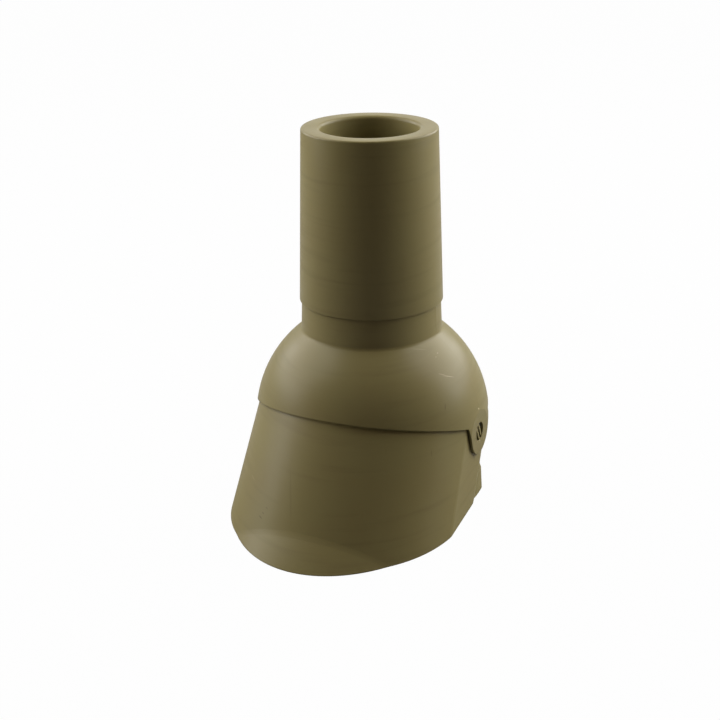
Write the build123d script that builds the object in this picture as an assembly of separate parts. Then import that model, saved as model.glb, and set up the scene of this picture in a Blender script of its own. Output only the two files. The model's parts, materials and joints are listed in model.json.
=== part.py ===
from build123d import *
import os
from math import acos, cos, degrees, radians, sin, sqrt, tan

# Adjustable vent pipe boot for a pitched roof: a skirt that lies on the roof,
# a dome collar that tilts on it, and a vent cap that slips over the collar's neck.
# Millimetres and degrees. X runs across the roof, -Y is down the slope, Z is square to the roof.

# Pose on a nearly flat roof
pivot_height = 55.0
rest_lean = 4.5
full_lean = 41.5

# Vent pipe that the boot is made for
pipe_radius = 44.45
pipe_wall = 5.5

# Skirt: a hollow ball that runs into a leaning wall with two flat sides
skirt_wall = 2.0
ball_radius = 88.3
pipe_room = 2.05
wall_lean = 36.9
wall_side_inset = 0.3
wall_front_inset = 1.9
side_flare = 0.05
front_flare = -0.056
flat_depth = 2.4
ball_flat_relief = 0.15
flat_corner_radius = 12.0

# Skirt rim: flared lip down the slope, steep foot with two flat corners up the slope
lip_height = 18.27
lip_crease_angle = 57.2
lip_lean = 46.7
lip_bend_radius = 20.0
foot_height = 17.0
foot_inset = 1.6
foot_draft = 3.5
foot_corner_set = 10.0
foot_corner_turn = 30.0

# Snap pivots: a stud of two blades on each flat side of the skirt
ear_hole_radius = 7.25
stud_clearance = 0.2
stud_recess = 0.6
blade_thickness = 2.0
blade_gap = 2.2
blade_lean = 24.0

# Dome collar: dome over the ball, neck up the pipe, an ear on each side
dome_gap = 0.46
dome_wall = 1.5
rim_height = 4.0
rim_rise = 0.28
ear_gap = 1.2
ear_thickness = 1.8
ear_radius = 18.3
ear_set_back = 2.3
ear_spread = 18.6
neck_room = 1.35
neck_wall = 1.8
neck_draft = 2.2
neck_reveal = 22.6
neck_fillet = 2.5

# Vent cap: tapered sleeve over the neck, closed by a ring with an inner tube that enters the pipe
cap_length = 129.43
cap_clearance = 0.3
cap_top_wall = 2.1
cap_draft = 1.77
ring_thickness = 3.5
ring_edge_radius = 1.3
spigot_room = 0.85
tube_wall = 1.95
tube_depth = 50.0
vent_mouth_radius = 2.6

# Radii and offsets that follow from these sizes
wall_side_radius = ball_radius - wall_side_inset
wall_front_radius = ball_radius - wall_front_inset
flat_offset = wall_side_radius - flat_depth
ear_face = flat_offset + ear_gap + ear_thickness
foot_radius = ball_radius - foot_inset
dome_radius = ball_radius + dome_gap + dome_wall
neck_length = cap_length - ring_thickness
neck_slope = tan(radians(neck_draft))
neck_top_radius = pipe_radius + neck_room + neck_wall
neck_foot_radius = neck_top_radius + neck_slope * neck_length
cap_top_radius = neck_top_radius + cap_clearance + cap_top_wall
cap_foot_radius = cap_top_radius + tan(radians(cap_draft)) * cap_length
tube_radius = pipe_radius - pipe_wall - spigot_room
vent_radius = tube_radius - tube_wall

# Heights along the pipe, from the pivot
cap_foot_height = sqrt(dome_radius**2 - neck_foot_radius**2) + neck_reveal
neck_top = cap_foot_height + neck_length
cap_height = cap_foot_height + cap_length

# Directions of the leaning wall and the lip, the wall's front line, and how far the wall and the cuts reach
axis_down = Vector(0, -sin(radians(wall_lean)), -cos(radians(wall_lean)))
axis_front = Vector(0, -cos(radians(wall_lean)), sin(radians(wall_lean)))
lip_down = Vector(0, -sin(radians(lip_lean)), -cos(radians(lip_lean)))
front_down = axis_down + axis_front * front_flare
wall_run = pivot_height + ball_radius
BIG = 4 * (cap_height + wall_run)

# The lip's crease at the middle of the front, and the pivot, which centres the part front to back
crease_start = axis_front * wall_front_radius
crease_start += front_down * ((lip_height - pivot_height - crease_start.Z) / front_down.Z)
front_reach = lip_height * tan(radians(lip_lean)) - crease_start.Y
pivot = Vector(0, (front_reach - ball_radius) / 2, pivot_height)


def beyond(plane):
    """Everything on the side that the plane's normal points to."""
    return plane * Box(BIG, BIG, BIG, align=(Align.CENTER, Align.CENTER, Align.MIN))


def wall_section(run, inset):
    """Outline of the leaning wall, square to its axis, at a distance below the pivot."""
    side = wall_side_radius + side_flare * run - inset
    front = wall_front_radius + front_flare * run - inset
    flat = flat_offset + side_flare * run - inset
    corner = degrees(acos(flat / side))
    front_arc = EllipticalCenterArc((0, 0), side, front, corner, arc_size=180 - 2 * corner)
    rear_arc = EllipticalCenterArc((0, 0), side, side, 180 + corner, arc_size=180 - 2 * corner)
    left_flat = Line(front_arc @ 1, rear_arc @ 0)
    right_flat = Line(rear_arc @ 1, front_arc @ 0)
    outline = make_face([front_arc, left_flat, rear_arc, right_flat])
    outline = fillet(outline.vertices(), flat_corner_radius - inset)
    return Plane(axis_down * run, x_dir=(1, 0, 0), z_dir=axis_down) * outline


def skirt_form(inset):
    """The skirt as a solid form about the pivot, drawn in by an inset."""
    roof = Plane((0, 0, -pivot_height), z_dir=(0, 0, -1))
    wall = loft([wall_section(0, inset), wall_section(wall_run, inset)], ruled=True) - beyond(roof)
    ball = Sphere(ball_radius - inset) - beyond(roof)
    for side in (1, -1):
        flat_normal = Vector(side, 0, 0) - axis_down * side_flare
        flat_point = (side * (flat_offset - ball_flat_relief - inset), 0, 0)
        ball -= beyond(Plane(flat_point, z_dir=flat_normal))
    crease_normal = (0, -sin(radians(lip_crease_angle)), -cos(radians(lip_crease_angle)))
    crease = Plane(crease_start, z_dir=crease_normal)
    upper = wall - beyond(crease)
    crescent = upper.faces().filter_by(crease).sort_by(Axis.Y)[0]
    lip = extrude(crescent, amount=wall_run, dir=lip_down) - beyond(roof)
    foot_top = foot_radius - tan(radians(foot_draft)) * foot_height
    foot = Cone(foot_radius - inset, foot_top - inset, foot_height - inset)
    foot = Pos(0, 0, (foot_height - inset) / 2 - pivot_height) * foot
    foot_corner = sqrt(foot_radius**2 - foot_corner_set**2)
    for side in (1, -1):
        turn = Vector(side * cos(radians(foot_corner_turn)), sin(radians(foot_corner_turn)), 0)
        foot -= beyond(Plane(Vector(side * foot_corner, foot_corner_set, 0) - turn * inset, z_dir=turn))
    form = upper + ball + foot + lip
    bend = form.edges().sort_by_distance(crease_start)[0]
    return fillet(bend, lip_bend_radius + inset)


def pipe_sweep():
    """The room that the vent pipe takes as it leans from its rest to its full lean."""
    radius = pipe_radius + pipe_room
    reach = dome_radius
    rod = Cylinder(radius, reach, align=(Align.CENTER, Align.CENTER, Align.MIN))
    between = Plane.XZ * Rectangle(2 * radius, reach, align=(Align.CENTER, Align.MIN))
    between = revolve(between, Axis.X, full_lean - rest_lean)
    ends = [Rot(-lean, 0, 0) * rod for lean in (rest_lean, full_lean)]
    return ends[0] + ends[1] + Rot(-full_lean, 0, 0) * between


def pivot_stud(side):
    """Two blades that spring into the ear's hole, on one flat side of the skirt."""
    reach = ear_face - stud_recess - flat_offset
    blades = Rectangle(2 * blade_thickness + blade_gap, BIG) - Rectangle(blade_gap, BIG)
    blades = Rot(0, 0, blade_lean) * blades & Circle(ear_hole_radius - stud_clearance)
    root = Plane((flat_offset - skirt_wall / 2, 0, 0), x_dir=(0, 1, 0), z_dir=(1, 0, 0))
    stud = extrude(root * blades, amount=reach + skirt_wall / 2)
    return stud if side > 0 else mirror(stud, about=Plane.YZ)


def make_skirt():
    """Moulded skirt: ball, leaning wall, lip, rear flare and pivot studs in one piece."""
    shell = skirt_form(0) - skirt_form(skirt_wall) - pipe_sweep()
    return shell + pivot_stud(1) + pivot_stud(-1)


def neck_form(inset):
    """The tapered neck as a solid form, from inside the dome to its top."""
    low_radius = neck_top_radius + neck_slope * neck_top - inset
    neck = Cone(low_radius, neck_top_radius - inset, neck_top)
    return Pos(0, 0, neck_top / 2) * neck


def ear(side):
    """Tab with spread sides and a round end, on one side of the dome."""
    root = ear_radius * sin(radians(ear_spread))
    half = ear_radius * cos(radians(ear_spread))
    top = half + tan(radians(ear_spread)) * (ear_radius + root)
    tab = Circle(ear_radius) + make_face(
        Polyline((-half, -root), (half, -root), (top, ear_radius), (-top, ear_radius), close=True)
    )
    face = Plane((ear_face, ear_set_back, 0), x_dir=(0, 1, 0), z_dir=(1, 0, 0))
    tab = extrude(face * tab, amount=-ear_thickness)
    return tab if side > 0 else mirror(tab, about=Plane.YZ)


def make_dome_collar():
    """Moulded collar: dome, neck and two ears in one piece, upright about the pivot."""
    dome = Sphere(dome_radius) & Box(2 * ear_face, BIG, BIG)
    outer = dome + neck_form(0)
    junction = outer.edges().filter_by(GeomType.CIRCLE).group_by(Axis.Z)[-2]
    outer = fillet(junction, neck_fillet)
    inner = Sphere(dome_radius - dome_wall) & Box(2 * (ear_face - ear_thickness), BIG, BIG)
    inner += neck_form(neck_wall)
    shell = outer - inner
    for slope in (rim_rise, -rim_rise):
        shell -= beyond(Plane((0, 0, rim_height), z_dir=(0, slope, -1)))
    for side in (1, -1):
        shell += ear(side) & dome
    return shell - Rot(0, 90, 0) * Cylinder(ear_hole_radius, BIG)


def make_vent_cap():
    """Moulded cap: tapered sleeve, top ring and inner tube in one piece, upright about the pivot."""
    corners = [
        (cap_foot_radius, cap_foot_height),
        (cap_top_radius, cap_height),
        (vent_radius, cap_height),
        (vent_radius, cap_height - tube_depth),
        (tube_radius, cap_height - tube_depth),
        (tube_radius, neck_top),
        (neck_top_radius + cap_clearance, neck_top),
        (neck_foot_radius + cap_clearance, cap_foot_height),
    ]
    profile = Plane.XZ * make_face(Polyline(corners, close=True))
    top_corners = profile.vertices().group_by(Axis.Z)[-1].sort_by(Axis.X)
    profile = fillet(top_corners[0], vent_mouth_radius)
    rim_corner = profile.vertices().group_by(Axis.Z)[-1].sort_by(Axis.X)[-1]
    profile = fillet(rim_corner, ring_edge_radius)
    return revolve(profile, Axis.Z)


on_roof = Location(pivot)
leaning = on_roof * Rot(-rest_lean, 0, 0)
pieces = {
    "skirt": on_roof * make_skirt(),
    "dome_collar": leaning * make_dome_collar(),
    "vent_cap": leaning * make_vent_cap(),
}

os.makedirs("parts", exist_ok=True)
for name, piece in pieces.items():
    export_step(piece, f"parts/{name}.step")
    box = piece.bounding_box()
    print(name, f"{piece.volume / 1000:.1f} cm3", box.min, box.max)
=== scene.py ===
import json
import math
from collections import namedtuple

import bpy
from bpy.props import FloatProperty, FloatVectorProperty, IntProperty, PointerProperty
from mathutils import Matrix, Vector


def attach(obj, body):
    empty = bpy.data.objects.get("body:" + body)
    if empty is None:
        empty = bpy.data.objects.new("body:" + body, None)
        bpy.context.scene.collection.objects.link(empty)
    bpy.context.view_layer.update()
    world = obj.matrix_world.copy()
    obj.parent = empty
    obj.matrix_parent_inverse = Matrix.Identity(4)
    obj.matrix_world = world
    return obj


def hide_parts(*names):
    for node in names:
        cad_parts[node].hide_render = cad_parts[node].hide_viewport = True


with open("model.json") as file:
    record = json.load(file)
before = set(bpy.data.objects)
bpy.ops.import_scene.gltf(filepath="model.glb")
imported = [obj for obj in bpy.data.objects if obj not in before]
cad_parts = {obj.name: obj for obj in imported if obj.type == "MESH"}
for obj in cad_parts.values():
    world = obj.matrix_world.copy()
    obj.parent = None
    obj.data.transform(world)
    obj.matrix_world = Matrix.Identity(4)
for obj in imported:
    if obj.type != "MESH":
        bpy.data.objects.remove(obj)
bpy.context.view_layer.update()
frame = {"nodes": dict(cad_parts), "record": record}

bl_info = {
    "name": "Pipe boot",
    "version": (1, 0, 0),
    "blender": (4, 5, 0),
    "location": "View3D > Sidebar > Pipe boot",
    "description": "Dresses a tilting vent pipe boot for a roof in its moulded finish",
    "category": "Object",
}

MM = 0.001

# The pivot on the skirt and the line of the pipe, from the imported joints
JOINTS = {joint["name"]: joint for joint in frame["record"]["behaviour"]["joints"]}
PIVOT = Vector(JOINTS["dome_tilt"]["pos_m"])
PIPE_AXIS = Vector(JOINTS["cap_slide"]["axis"]).normalized()

# Marks of handling, and one painted glint: two ends in millimetres, width in millimetres, and how strongly
# each shows
Mark = namedtuple("Mark", "start end width strength")
DOME_SCRATCHES_AND_GLINT = (
    Mark((65.7, 4.7, 111.6), (70.1, 10.2, 108.4), 0.7, 0.5),
    Mark((67.8, 6.1, 109.7), (74.5, 16.9, 104.3), 0.8, 0.7),
    Mark((44.0, 2.0, 130.0), (54.9, 13.8, 124.9), 0.8, 0.2),
    Mark((60.4, 18.2, 121.2), (60.4, 19.0, 121.0), 1.2, 0.4),
    Mark((60.8, 14.0, 120.0), (60.8, 14.6, 119.8), 1.0, 0.35),
    # Painted glint, not a scratch: a bright spot in the scuff colour on the corner where the ear's flat
    # meets the dome
    Mark((88.1, 28.9, 74.8), (88.1, 29.9, 74.0), 1.7, 1.0),
)
DOME_SMUDGES = (Mark((74.7, -3.7, 93.1), (75.6, -6.5, 88.4), 1.6, 0.35),)
SKIRT_SCRATCHES = (Mark((-60.0, -62.0, 38.0), (-52.0, -67.5, 37.0), 0.6, 0.2),)
SKIRT_SMUDGES = (
    Mark((-41.0, -86.7, 20.9), (-37.2, -89.3, 19.9), 1.1, 0.45),
    Mark((-38.6, -86.1, 23.7), (-36.3, -87.5, 23.3), 1.0, 0.4),
    Mark((-35.7, -84.6, 27.8), (-33.9, -85.8, 27.1), 1.0, 0.35),
    Mark((-21.6, -68.1, 59.5), (-9.7, -96.3, 20.7), 2.4, 0.12),
    Mark((71.8, -25.5, 65.7), (72.8, -27.9, 60.5), 0.8, 0.3),
)


def linear(hex_colour):
    """Linear red, green and blue of an sRGB hex colour."""
    channels = [int(hex_colour[i : i + 2], 16) / 255 for i in (1, 3, 5)]
    return [c / 12.92 if c <= 0.04045 else ((c + 0.055) / 1.055) ** 2.4 for c in channels]


def length(name, description, millimetres):
    """A length setting, given in millimetres and kept in metres."""
    return FloatProperty(
        name=name, description=description, default=millimetres * MM, precision=5, unit="LENGTH"
    )


def shade(name, description, hex_colour):
    """A colour setting, given as an sRGB hex colour."""
    return FloatVectorProperty(
        name=name, description=description, default=linear(hex_colour), subtype="COLOR"
    )


def number(name, description, value):
    """A plain setting without a unit."""
    return FloatProperty(name=name, description=description, default=value)


def angle(name, description, degrees):
    """An angle setting, given in degrees and kept in radians."""
    return FloatProperty(
        name=name, description=description, default=math.radians(degrees), subtype="ANGLE"
    )


def point(name, description, metres):
    """A place in the part's frame."""
    return FloatVectorProperty(name=name, description=description, default=metres, unit="LENGTH")


class BootCap(bpy.types.PropertyGroup):
    """Sizes of the vent cap's turned section."""

    foot_height: length("Foot height", "From the pivot to the sleeve's lower edge", 96.065)
    sleeve_length: length("Length", "From the sleeve's lower edge to the ring", 129.43)
    foot_radius: length("Foot radius", "Outside of the sleeve at its lower edge", 54.0)
    top_radius: length("Top radius", "Outside of the sleeve at the ring", 50.0)
    inner_foot_radius: length("Inner foot radius", "Inside of the sleeve at its lower edge", 52.738)
    inner_top_radius: length("Inner top radius", "Inside of the sleeve under the ring", 47.9)
    ring_thickness: length("Ring thickness", "Thickness of the top ring", 3.5)
    tube_radius: length("Tube radius", "Outside of the inner tube", 38.1)
    bore_radius: length("Bore radius", "Inside of the inner tube", 36.15)
    tube_depth: length("Tube depth", "From the ring's face to the tube's end", 50.0)
    mouth_round: length("Mouth rounding", "Rounding of the bore's mouth", 2.6)
    ring_round: length("Ring rounding", "Rounding of the ring's outer edge", 1.3)
    edge_round: length("Edge rounding", "Rounding of the other moulded edges", 0.4)
    sides: IntProperty(name="Sides", description="Divisions round the cap", default=192, min=16)


class BootFinish(bpy.types.PropertyGroup):
    """Colours and surface sizes of the moulded plastic."""

    base: shade("Base", "Body colour of the plastic", "#7A744D")
    warm: shade("Warm", "Colour of the browner flow patches", "#756B46")
    # The scuff colour also paints the glint on the corner of the dome's ear flat
    scuff_and_glint: shade("Scuff", "Colour of scratched plastic", "#B9B391")
    smudge: shade("Smudge", "Colour of rubbed-in dirt", "#3A3320")
    roughness: number("Roughness", "Roughness of the satin skin", 0.33)
    unevenness: number("Unevenness", "How far the roughness strays to each side", 0.03)
    scuff_roughness: number("Scuff roughness", "Roughness that a scratch adds", 0.15)
    gloss: number("Gloss", "Strength of the skin's reflection", 0.14)
    line_strength: number("Line strength", "How dark the flow lines get", 0.12)
    line_stretch: number("Line stretch", "Spacing of the flow lines as a share of their length", 0.06)
    flow_size: length("Flow patches", "Width of a flow patch", 45)
    line_size: length("Flow lines", "Spacing of the faint lines left by the flowing plastic", 5)
    grain_size: length("Grain", "Width of a grain of the mould's spark finish", 0.9)
    grain_depth: length("Grain depth", "Height of the grain", 0.012)
    edge_softness: length("Edge softness", "Rounding of the moulded edges", 0.7)


class BootStudio(bpy.types.PropertyGroup):
    """Camera, lamps and floor."""

    camera_place: point("Camera", "Where the camera stands", (0.41748, -0.84891, 0.56778))
    camera_aim: point("Aim", "Point in the middle of the picture", (-0.00051, 0.01289, 0.10837))
    camera_roll: angle("Roll", "Turn about the line of sight", -2.932)
    lens: number("Lens", "Focal length in millimetres", 70.45)
    lamp_distance: length("Lamp distance", "From the object to each softbox", 1100)
    lamp_side: length("Lamp side", "Side of each square softbox", 1200)
    left_turn: angle("Left turn", "Left softbox, to the right of the camera", -114)
    left_rise: angle("Left rise", "Left softbox, above level", 37)
    left_power: number("Left lamp", "Power of the left softbox in watts", 17.5)
    right_turn: angle("Right turn", "Right softbox, to the right of the camera", 115)
    right_rise: angle("Right rise", "Right softbox, above level", 32)
    right_power: number("Right lamp", "Power of the right softbox in watts", 22.0)
    wall_level: number("Walls", "Brightness of the lit walls beside the object", 2.9)
    ceiling_level: number("Ceiling", "Brightness of the warm ceiling", 0.08)
    floor_grey: number("Floor grey", "Share of the light that the floor gives back", 0.25)
    floor_glow: number("Floor glow", "Share of plain white in the floor's colour", 0.985)


def add(tree, kind, settings=None, links=None, **inputs):
    """Adds a node with its settings, the values of its inputs and the sockets linked to its inputs."""
    node = tree.nodes.new(kind)
    for name, value in (settings or {}).items():
        setattr(node, name, value)
    for name, value in inputs.items():
        node.inputs[name.replace("_", " ")].default_value = value
    for name, socket in (links or {}).items():
        tree.links.new(socket, node.inputs[name])
    return node


def new_material(name):
    """An empty node material and its tree."""
    material = bpy.data.materials.new(name)
    material.use_nodes = True
    material.node_tree.nodes.clear()
    return material, material.node_tree


def math_node(tree, operation, first, second):
    """One step of arithmetic on two sockets or numbers."""
    node = add(tree, "ShaderNodeMath", {"operation": operation})
    for socket, value in zip(node.inputs, (first, second)):
        if isinstance(value, (int, float)):
            socket.default_value = value
        else:
            tree.links.new(value, socket)
    return node.outputs["Value"]


def ramp(tree, value, start, end, low=0.0, high=1.0):
    """A smooth step of a value from low at start to high at end."""
    node = add(tree, "ShaderNodeMapRange", {"interpolation_type": "SMOOTHSTEP"}, {"Value": value})
    for socket, number in zip(("From Min", "From Max", "To Min", "To Max"), (start, end, low, high)):
        node.inputs[socket].default_value = number
    return node.outputs["Result"]


def blend(tree, factor, first, second):
    """A colour mixed from two colours by a factor; the first may be a socket."""
    node = add(tree, "ShaderNodeMix", {"data_type": "RGBA"}, {"Factor": factor})
    if isinstance(first, bpy.types.NodeSocket):
        tree.links.new(first, node.inputs["A"])
    else:
        node.inputs["A"].default_value = (*first, 1)
    node.inputs["B"].default_value = (*second, 1)
    return node.outputs["Result"]


def mark_mask(tree, place, mark):
    """A thin soft-edged patch that lies along the surface between a mark's two ends."""
    start, end = Vector(mark.start) * MM, Vector(mark.end) * MM
    middle = (start + end) / 2
    along = (end - start).normalized()
    across = (middle - PIVOT).cross(along).normalized()
    turn = Matrix((along, across, along.cross(across))).transposed()
    mapping = add(tree, "ShaderNodeMapping", {"vector_type": "TEXTURE"}, {"Vector": place}, Location=middle)
    mapping.inputs["Rotation"].default_value = turn.to_euler()
    half = mark.width * MM / 2
    mapping.inputs["Scale"].default_value = ((end - start).length / 2 + half, half, 1.5 * MM)
    reach = add(tree, "ShaderNodeVectorMath", {"operation": "LENGTH"}, {0: mapping.outputs["Vector"]})
    return ramp(tree, reach.outputs["Value"], 1.0, 0.3, 0.0, mark.strength)


def all_marks(tree, place, marks):
    """The strongest of several marks at each point."""
    total = 0.0
    for mark in marks:
        total = math_node(tree, "MAXIMUM", mark_mask(tree, place, mark), total)
    return total


def moulded_pvc(name, scratches_and_glint=(), smudges=()):
    """Rigid PVC moulded against spark-finished steel: satin, close-grained, faintly streaked."""
    finish = bpy.context.scene.boot_finish
    material, tree = new_material(name)
    place = add(tree, "ShaderNodeTexCoord").outputs["Object"]
    flow = add(
        tree, "ShaderNodeTexNoise", links={"Vector": place}, Scale=1 / finish.flow_size, Detail=3.0
    )
    colour = blend(tree, flow.outputs["Fac"], finish.base, finish.warm)

    # Faint lines across the flow, stretched along the part's width
    stretch = add(tree, "ShaderNodeMapping", links={"Vector": place})
    across = 1 / finish.line_size
    along = finish.line_stretch * across
    stretch.inputs["Scale"].default_value = (along, along, across)
    lines = add(
        tree,
        "ShaderNodeTexNoise",
        links={"Vector": stretch.outputs["Vector"]},
        Scale=1.0,
        Detail=4.0,
    )
    line_mask = ramp(tree, lines.outputs["Fac"], 0.5, 0.8, 0.0, finish.line_strength)
    colour = blend(tree, line_mask, colour, finish.smudge)

    # Marks of handling; the dome's scratches include a painted glint at the top corner of the ear's flat
    if smudges:
        colour = blend(tree, all_marks(tree, place, smudges), colour, finish.smudge)
    scratch_and_glint_mask = 0.0
    if scratches_and_glint:
        scratch_and_glint_mask = all_marks(tree, place, scratches_and_glint)
        colour = blend(tree, scratch_and_glint_mask, colour, finish.scuff_and_glint)

    # Satin skin: close grain, a little uneven, with softened edges
    grain = add(
        tree, "ShaderNodeTexNoise", links={"Vector": place}, Scale=1 / finish.grain_size, Detail=2.0
    )
    soft = add(tree, "ShaderNodeBevel", {"samples": 6}, Radius=finish.edge_softness)
    bump = add(
        tree,
        "ShaderNodeBump",
        links={"Height": grain.outputs["Fac"], "Normal": soft.outputs["Normal"]},
        Strength=1.0,
        Distance=finish.grain_depth,
    )
    smooth, rough = finish.roughness - finish.unevenness, finish.roughness + finish.unevenness
    uneven = ramp(tree, lines.outputs["Fac"], 0.3, 0.7, smooth, rough)
    scuffed = math_node(tree, "MULTIPLY", scratch_and_glint_mask, finish.scuff_roughness)
    roughness = math_node(tree, "ADD", uneven, scuffed)
    skin = add(
        tree,
        "ShaderNodeBsdfPrincipled",
        links={"Base Color": colour, "Roughness": roughness, "Normal": bump.outputs["Normal"]},
        IOR=1.53,
        Specular_IOR_Level=finish.gloss,
    )
    add(tree, "ShaderNodeOutputMaterial", links={"Surface": skin.outputs["BSDF"]})
    return material


def dress(node, material):
    """Gives a CAD node its finish."""
    piece = frame["nodes"][node]
    piece.data.materials.clear()
    piece.data.materials.append(material)


def turned_section(tree, sizes, path_radius):
    """The cap's closed section: X is the radius beyond the path, Y the depth below the ring's face."""
    foot, tube_end, under_ring = sizes["sleeve_length"], sizes["tube_depth"], sizes["ring_thickness"]
    edge = sizes["edge_round"]
    corners = (
        (sizes["inner_foot_radius"], foot, edge),
        (sizes["inner_top_radius"], under_ring, edge),
        (sizes["tube_radius"], under_ring, edge),
        (sizes["tube_radius"], tube_end, edge),
        (sizes["bore_radius"], tube_end, edge),
        (sizes["bore_radius"], None, sizes["mouth_round"]),
        (sizes["top_radius"], None, sizes["ring_round"]),
        (sizes["foot_radius"], foot, edge),
    )
    index = add(tree, "GeometryNodeInputIndex").outputs["Index"]
    place = add(tree, "GeometryNodeIndexSwitch", {"data_type": "VECTOR"}, {"Index": index})
    rounding = add(tree, "GeometryNodeIndexSwitch", {"data_type": "FLOAT"}, {"Index": index})
    while len(place.index_switch_items) < len(corners):
        place.index_switch_items.new()
        rounding.index_switch_items.new()
    for number, (radius, depth, fillet) in enumerate(corners):
        beyond_path = math_node(tree, "SUBTRACT", radius, path_radius)
        corner = add(tree, "ShaderNodeCombineXYZ", links={"X": beyond_path})
        if depth:
            tree.links.new(depth, corner.inputs["Y"])
        tree.links.new(corner.outputs["Vector"], place.inputs[str(number)])
        tree.links.new(fillet, rounding.inputs[str(number)])
    line = add(tree, "GeometryNodeMeshLine", Count=len(corners))
    moved = add(
        tree,
        "GeometryNodeSetPosition",
        links={"Geometry": line.outputs["Mesh"], "Position": place.outputs["Output"]},
    )
    curve = add(tree, "GeometryNodeMeshToCurve", links={"Mesh": moved.outputs["Geometry"]})
    closed = add(
        tree, "GeometryNodeSetSplineCyclic", links={"Geometry": curve.outputs["Curve"]}, Cyclic=True
    )
    filleted = add(
        tree,
        "GeometryNodeFilletCurve",
        {"mode": "POLY"},
        {"Curve": closed.outputs["Geometry"], "Radius": rounding.outputs["Output"]},
        Count=6,
    )
    return filleted.outputs["Curve"]


def turned_cap_tree(group):
    """Geometry Nodes tree that turns the cap's section about Z, with the ring's face at the origin."""
    tree = bpy.data.node_groups.new("Turned cap", "GeometryNodeTree")
    identifiers = {}
    for name in group.__annotations__:
        kind = "NodeSocketInt" if name == "sides" else "NodeSocketFloat"
        identifiers[name] = tree.interface.new_socket(name, in_out="INPUT", socket_type=kind).identifier
    material = tree.interface.new_socket("material", in_out="INPUT", socket_type="NodeSocketMaterial")
    identifiers["material"] = material.identifier
    tree.interface.new_socket("Geometry", in_out="OUTPUT", socket_type="NodeSocketGeometry")
    sizes = add(tree, "NodeGroupInput").outputs
    path_radius = MM
    section = turned_section(tree, sizes, path_radius)
    path = add(
        tree,
        "GeometryNodeCurvePrimitiveCircle",
        links={"Resolution": sizes["sides"]},
        Radius=path_radius,
    )
    swept = add(
        tree,
        "GeometryNodeCurveToMesh",
        links={"Curve": path.outputs["Curve"], "Profile Curve": section},
    )
    real = add(tree, "GeometryNodeRealizeInstances", links={"Geometry": swept.outputs["Mesh"]})
    painted = add(
        tree,
        "GeometryNodeSetMaterial",
        links={"Geometry": real.outputs["Geometry"], "Material": sizes["material"]},
    )
    add(tree, "NodeGroupOutput", links={"Geometry": painted.outputs["Geometry"]})
    return tree, identifiers


class BOOT_OT_skirt(bpy.types.Operator):
    """Finish the skirt that lies on the roof"""

    bl_idname = "boot.skirt"
    bl_label = "Skirt"

    def execute(self, context):
        dress("skirt", moulded_pvc("Moulded PVC skirt", SKIRT_SCRATCHES, SKIRT_SMUDGES))
        return {"FINISHED"}


class BOOT_OT_dome_collar(bpy.types.Operator):
    """Finish the dome collar that tilts on the skirt"""

    bl_idname = "boot.dome_collar"
    bl_label = "Dome collar"

    def execute(self, context):
        dress("dome_collar", moulded_pvc("Moulded PVC dome collar", DOME_SCRATCHES_AND_GLINT, DOME_SMUDGES))
        return {"FINISHED"}


class BOOT_OT_vent_cap(bpy.types.Operator):
    """Turn the vent cap that slips over the neck"""

    bl_idname = "boot.vent_cap"
    bl_label = "Vent cap"

    def execute(self, context):
        sizes = context.scene.boot_cap
        tree, identifiers = turned_cap_tree(sizes)
        holder = bpy.data.objects.new("Cap holder", bpy.data.meshes.new("Cap holder"))
        context.scene.collection.objects.link(holder)
        modifier = holder.modifiers.new("Turned cap", "NODES")
        modifier.node_group = tree
        for name in sizes.__annotations__:
            modifier[identifiers[name]] = getattr(sizes, name)
        modifier[identifiers["material"]] = moulded_pvc("Moulded PVC vent cap")
        mesh = bpy.data.meshes.new_from_object(holder.evaluated_get(context.evaluated_depsgraph_get()))
        bpy.data.objects.remove(holder)
        ring_face = PIVOT + PIPE_AXIS * (sizes.foot_height + sizes.sleeve_length)
        upright = PIPE_AXIS.to_track_quat("Z", "Y").to_matrix().to_4x4()
        mesh.transform(Matrix.Translation(ring_face) @ upright)
        cap = bpy.data.objects.new("turned_vent_cap", mesh)
        context.scene.collection.objects.link(cap)
        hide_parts("vent_cap")
        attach(cap, "vent_cap")
        return {"FINISHED"}


class BOOT_OT_stage(bpy.types.Operator):
    """Set the floor, the lamps, the backdrop and the camera"""

    bl_idname = "boot.stage"
    bl_label = "Stage"

    def execute(self, context):
        studio = context.scene.boot_studio
        context.scene.view_settings.view_transform = "Standard"
        make_camera(studio)
        make_floor(studio)
        make_lamp("Left softbox", studio, studio.left_turn, studio.left_rise, studio.left_power)
        make_lamp("Right softbox", studio, studio.right_turn, studio.right_rise, studio.right_power)
        make_world(studio)
        return {"FINISHED"}


def make_camera(studio):
    """Camera at the photograph's place, turned about its line of sight."""
    camera = bpy.data.objects.new("Camera", bpy.data.cameras.new("Camera"))
    camera.data.lens = studio.lens
    place, aim = Vector(studio.camera_place), Vector(studio.camera_aim)
    turn = (aim - place).to_track_quat("-Z", "Y").to_matrix().to_4x4()
    camera.matrix_world = Matrix.Translation(place) @ turn @ Matrix.Rotation(studio.camera_roll, 4, "Z")
    bpy.context.scene.collection.objects.link(camera)
    bpy.context.scene.camera = camera


def away_from_camera(studio):
    """Level direction from the camera to the object."""
    line = Vector(studio.camera_aim) - Vector(studio.camera_place)
    return Vector((line.x, line.y, 0)).normalized()


def make_lamp(name, studio, turn, rise, power):
    """Square softbox: turn is to the right of the camera as seen from the object, rise is above level."""
    toward = Matrix.Rotation(turn, 3, "Z") @ -away_from_camera(studio)
    toward = (toward * math.cos(rise) + Vector((0, 0, math.sin(rise)))).normalized()
    lamp = bpy.data.objects.new(name, bpy.data.lights.new(name, "AREA"))
    lamp.data.size = studio.lamp_side
    lamp.data.energy = power
    aim = Vector(studio.camera_aim)
    lamp.location = aim + toward * studio.lamp_distance
    lamp.rotation_euler = toward.to_track_quat("Z", "Y").to_euler()
    bpy.context.scene.collection.objects.link(lamp)


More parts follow.
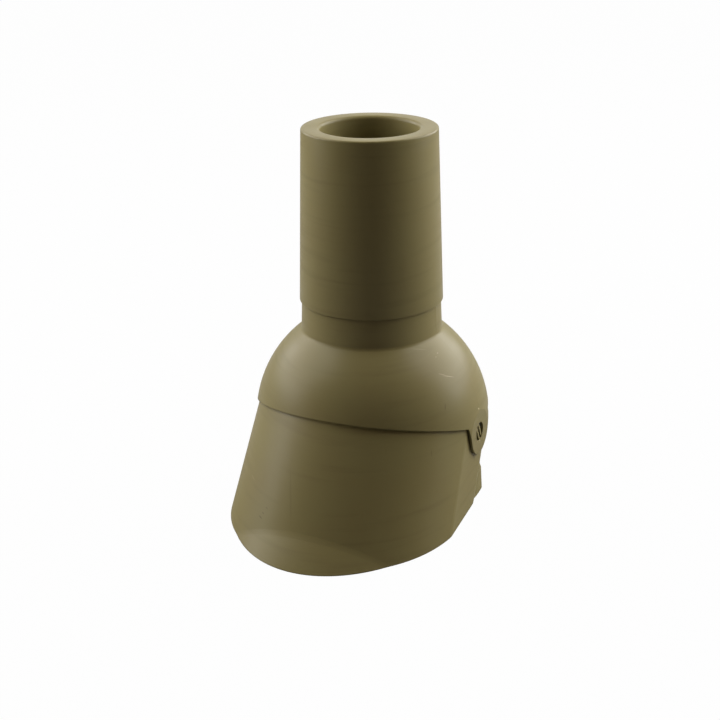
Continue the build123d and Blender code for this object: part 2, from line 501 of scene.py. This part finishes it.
def make_floor(studio):
    """Grey floor that shows nearly white and keeps a soft shadow."""
    mesh = bpy.data.meshes.new("Floor")
    reach = 6.0
    corners = [(-reach, -reach, 0), (reach, -reach, 0), (reach, reach, 0), (-reach, reach, 0)]
    mesh.from_pydata(corners, [], [(0, 1, 2, 3)])
    floor = bpy.data.objects.new("Floor", mesh)
    bpy.context.scene.collection.objects.link(floor)
    material, tree = new_material("White sweep")
    paint = add(tree, "ShaderNodeBsdfDiffuse")
    paint.inputs["Color"].default_value = (*[studio.floor_grey] * 3, 1)
    glow = add(tree, "ShaderNodeEmission", Strength=1.0)
    seen = add(tree, "ShaderNodeLightPath").outputs["Is Camera Ray"]
    share = math_node(tree, "MULTIPLY", seen, studio.floor_glow)
    mix = add(
        tree,
        "ShaderNodeMixShader",
        links={0: share, 1: paint.outputs["BSDF"], 2: glow.outputs["Emission"]},
    )
    add(tree, "ShaderNodeOutputMaterial", links={"Surface": mix.outputs["Shader"]})
    mesh.materials.append(material)


def make_world(studio):
    """White to the camera and, behind the object, to gloss; lit walls beside it and a warm ceiling."""
    world = bpy.data.worlds.new("Studio")
    bpy.context.scene.world = world
    world.use_nodes = True
    tree = world.node_tree
    tree.nodes.clear()
    direction = add(tree, "ShaderNodeTexCoord").outputs["Generated"]
    along = add(tree, "ShaderNodeVectorMath", {"operation": "DOT_PRODUCT"}, {0: direction})
    along.inputs[1].default_value = away_from_camera(studio)
    behind = along.outputs["Value"]
    height = add(tree, "ShaderNodeSeparateXYZ", links={"Vector": direction}).outputs["Z"]

    # Walls stand low, from a little in front of the object round to the back, and are dimmer in the middle
    wall_top, wall_full_height = 0.65, 0.15
    wall_start, wall_full_turn = -0.48, -0.05
    middle, middle_edge, middle_level = 1.0, 0.6, 0.3
    low = ramp(tree, height, wall_top, wall_full_height)
    backdrop = math_node(tree, "MULTIPLY", ramp(tree, behind, wall_start, wall_full_turn), low)
    dimming = ramp(tree, behind, middle, middle_edge, middle_level, 1.0)
    walls = math_node(tree, "MULTIPLY", backdrop, dimming)

    # The ceiling brightens upward
    ceiling_edge, ceiling_full = 0.4, 0.9
    ceiling = ramp(tree, height, ceiling_edge, ceiling_full, 0.0, studio.ceiling_level)
    tint = blend(tree, backdrop, linear("#FFB870"), (1, 1, 1))
    level = math_node(tree, "ADD", math_node(tree, "MULTIPLY", walls, studio.wall_level), ceiling)
    room = add(tree, "ShaderNodeBackground", links={"Color": tint, "Strength": level})
    white = add(tree, "ShaderNodeBackground", Strength=1.0)
    white.inputs["Color"].default_value = (1, 1, 1, 1)
    path = add(tree, "ShaderNodeLightPath").outputs
    shown = math_node(tree, "ADD", path["Is Glossy Ray"], path["Is Transmission Ray"])
    shown = math_node(tree, "MULTIPLY", shown, backdrop)
    shown = math_node(tree, "ADD", shown, path["Is Camera Ray"])
    mix = add(
        tree,
        "ShaderNodeMixShader",
        links={0: shown, 1: room.outputs["Background"], 2: white.outputs["Background"]},
    )
    add(tree, "ShaderNodeOutputWorld", links={"Surface": mix.outputs["Shader"]})


class BOOT_PT_sidebar(bpy.types.Panel):
    """Pieces and settings of the pipe boot"""

    bl_label = "Pipe boot"
    bl_idname = "BOOT_PT_sidebar"
    bl_space_type = "VIEW_3D"
    bl_region_type = "UI"
    bl_category = "Pipe boot"

    def draw(self, context):
        layout = self.layout
        scene = context.scene
        for group in (scene.boot_cap, scene.boot_finish, scene.boot_studio):
            for name in group.__annotations__:
                layout.prop(group, name)
        for operator in OPERATORS:
            layout.operator(operator.bl_idname)


OPERATORS = (BOOT_OT_skirt, BOOT_OT_dome_collar, BOOT_OT_vent_cap, BOOT_OT_stage)
CLASSES = (BootCap, BootFinish, BootStudio, *OPERATORS, BOOT_PT_sidebar)


def register():
    for cls in CLASSES:
        bpy.utils.register_class(cls)
    bpy.types.Scene.boot_cap = PointerProperty(type=BootCap)
    bpy.types.Scene.boot_finish = PointerProperty(type=BootFinish)
    bpy.types.Scene.boot_studio = PointerProperty(type=BootStudio)


def unregister():
    del bpy.types.Scene.boot_studio
    del bpy.types.Scene.boot_finish
    del bpy.types.Scene.boot_cap
    for cls in reversed(CLASSES):
        bpy.utils.unregister_class(cls)


def main():
    register()
    bpy.ops.boot.skirt()
    bpy.ops.boot.dome_collar()
    bpy.ops.boot.vent_cap()
    bpy.ops.boot.stage()


if __name__ == "__main__":
    main()
